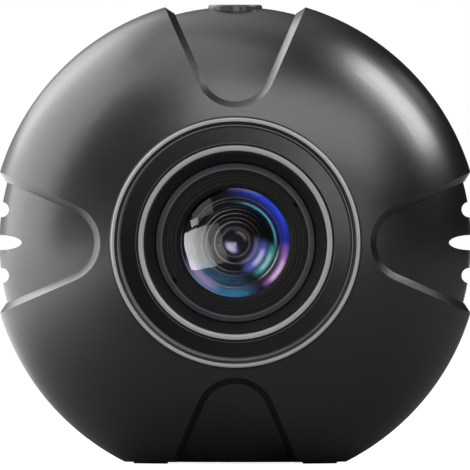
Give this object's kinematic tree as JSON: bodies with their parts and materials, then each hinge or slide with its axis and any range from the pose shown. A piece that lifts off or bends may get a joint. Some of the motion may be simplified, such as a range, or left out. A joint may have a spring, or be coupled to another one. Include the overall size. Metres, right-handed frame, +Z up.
{
  "type": "indoor security camera",
  "caption": "Small round indoor security camera with a large ringed lens, wrap-over recesses, side grooves, a top power button and a flat base",
  "frame": {"origin": "on the surface that the camera stands on, under the middle of the body", "axes": "X runs across the camera, the lens looks along -Y, Z is up"},
  "size_m": [0.0622, 0.0348, 0.0604],
  "materials": {
    "shell_plastic": "satin black moulding",
    "black_screws": "black oxide",
    "pad_rubber": "soft black rubber",
    "insert_brass": "turned brass",
    "dark_metal": "dark anodised, polished edge",
    "smoked_window": "smoked, passes infrared",
    "black_plastic": "matte black",
    "barrel_metal": "black anodised, turned",
    "optical_glass": "coated optical glass",
    "filter_glass": "infrared-cut coating",
    "circuit_board": "green solder mask",
    "diode_resin": "clear resin on a white frame",
    "steel_screws": "bright steel",
    "socket_steel": "stamped steel",
    "coil_copper": "enamelled copper winding",
    "chip_package": "black epoxy",
    "button_metal": "gloss black",
    "battery_wrap": "blue shrink wrap"
  },
  "bodies": {
    "housing": {"front_shell": "shell_plastic", "rear_shell": "shell_plastic", "shell_screws": "black_screws", "foot_pads": "pad_rubber", "tripod_insert": "insert_brass", "bezel_ring": "dark_metal", "night_window": "smoked_window", "lens_trim_ring": "dark_metal", "lens_hood": "black_plastic", "lens_barrel": "barrel_metal", "lens_retainer": "barrel_metal", "front_lens": "optical_glass", "lens_spacer": "barrel_metal", "second_lens": "optical_glass", "aperture_stop": "barrel_metal", "lens_sleeve": "barrel_metal", "rear_lens": "optical_glass", "led_board": "circuit_board", "infrared_leds": "diode_resin", "light_sensor": "diode_resin", "led_board_screws": "steel_screws", "lens_holder": "black_plastic", "filter_cover": "black_plastic", "coil_yoke": "steel_screws", "filter_coil": "coil_copper", "sensor_board": "circuit_board", "holder_screws": "steel_screws", "image_sensor": "chip_package", "sensor_glass": "optical_glass", "board_spacers": "insert_brass", "sensor_board_screws": "steel_screws", "board_connector": "black_plastic", "main_board": "circuit_board", "main_board_screws": "steel_screws", "processor": "chip_package", "memory_chip": "chip_package", "radio_module": "socket_steel", "radio_antenna": "socket_steel", "usb_socket": "socket_steel", "reset_switch": "black_plastic", "microphone": "socket_steel", "microphone_boot": "pad_rubber", "speaker": "socket_steel", "card_socket": "socket_steel", "power_switch": "black_plastic", "switch_board": "circuit_board", "switch_board_screws": "steel_screws", "battery_pad": "pad_rubber", "battery": "battery_wrap"},
    "power_button": {"power_button": "button_metal", "power_plunger": "black_plastic"},
    "filter_carriage": {"filter_carriage": "black_plastic", "day_filter": "filter_glass", "clear_pane": "optical_glass"},
    "switch_rotor": {"switch_arm": "black_plastic", "switch_magnet": "steel_screws"},
    "reset_plunger": {"reset_plunger": "black_plastic"}
  },
  "joints": [
    {"name": "power_button_press", "type": "slide", "parent": "housing", "child": "power_button", "axis": [0, 0, -1], "range_m": [0, 0.0004], "stiffness_N_per_m": 4000},
    {"name": "reset_press", "type": "slide", "parent": "housing", "child": "reset_plunger", "axis": [0, -1, 0], "range_m": [0, 0.00025], "stiffness_N_per_m": 4000},
    {"name": "switch_rotor_turn", "type": "hinge", "parent": "housing", "child": "switch_rotor", "pos_m": [0, 0.0025, 0.0189], "axis": [0, 1, 0], "range_deg": [0, 73.74]},
    {"name": "filter_carriage_slide", "type": "slide", "parent": "housing", "child": "filter_carriage", "axis": [1, 0, 0], "range_m": [0, 0.006]}
  ],
  "couplings": [
    {"joint": "switch_rotor_turn", "follows": "filter_carriage_slide", "rad_per_m": 214.5}
  ]
}
